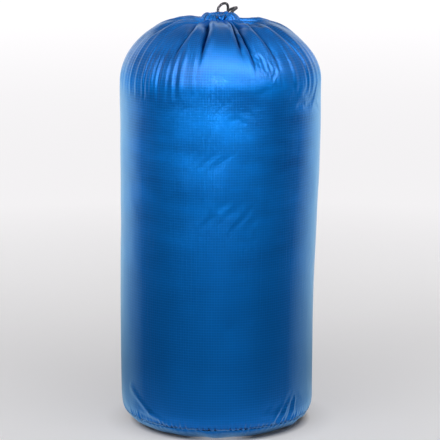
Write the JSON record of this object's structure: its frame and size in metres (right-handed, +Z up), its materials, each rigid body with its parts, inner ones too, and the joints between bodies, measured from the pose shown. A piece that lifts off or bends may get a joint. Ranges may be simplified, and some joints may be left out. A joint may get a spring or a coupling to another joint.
{
  "type": "compression sack",
  "caption": "Round ripstop stuff sack packed full, with a gathered drawcord neck, spring cord lock and a webbing haul handle under the base.",
  "frame": {"origin": "middle of the base, on the floor the sack stands on", "axes": "+Z up through the gathered neck; the front faces -Y; the cord lock and hanging cord tails are at the back, +Y"},
  "size_m": [0.2139, 0.2237, 0.4553],
  "materials": {
    "ripstop_blue": "shiny ripstop nylon",
    "ripstop_base": "shiny ripstop nylon",
    "binding_tape": "woven tape",
    "thread_blue": "polyester thread",
    "thread_black": "polyester thread",
    "cord_black": "braided cord",
    "webbing_black": "flat nylon webbing",
    "lock_plastic": "fine texture",
    "spring_steel": "drawn wire",
    "filling": "soft nylon shell over insulation"
  },
  "bodies": {
    "root": {"side_panel": "ripstop_blue", "base_panel": "ripstop_base", "base_seam_binding": "binding_tape", "base_seam_stitching": "thread_blue", "side_seam_stitching": "thread_blue", "drawcord_channel": "ripstop_blue", "channel_stitching": "thread_blue", "buttonhole_stitching": "thread_blue", "drawcord": "cord_black", "handle_webbing_ends": "webbing_black", "handle_bartacks": "thread_black", "packed_filling": "filling"},
    "tails": {"cord_tails": "cord_black"},
    "lock": {"cord_lock_barrel": "lock_plastic", "cord_lock_spring": "spring_steel"},
    "plunger": {"cord_lock_plunger": "lock_plastic"},
    "handle": {"handle_grip": "webbing_black"}
  },
  "joints": [
    {"name": "tail_swing", "type": "hinge", "parent": "root", "child": "tails", "pos_m": [0.0085, 0.1125, 0.36683], "axis": [1, 0, 0], "range_deg": [0, 90]},
    {"name": "lock_slide", "type": "slide", "parent": "root", "child": "lock", "axis": [0, 1, 0], "range_m": [0, 0.018]},
    {"name": "plunger_press", "type": "slide", "parent": "lock", "child": "plunger", "axis": [-1, 0, 0], "range_m": [0, 0.004], "stiffness_N_per_m": 1200, "springref_m": -0.004, "deforming": ["cord_lock_spring"]},
    {"name": "handle_pull", "type": "slide", "parent": "root", "child": "handle", "axis": [0, 0, -1], "range_m": [0, 0.03]}
  ]
}
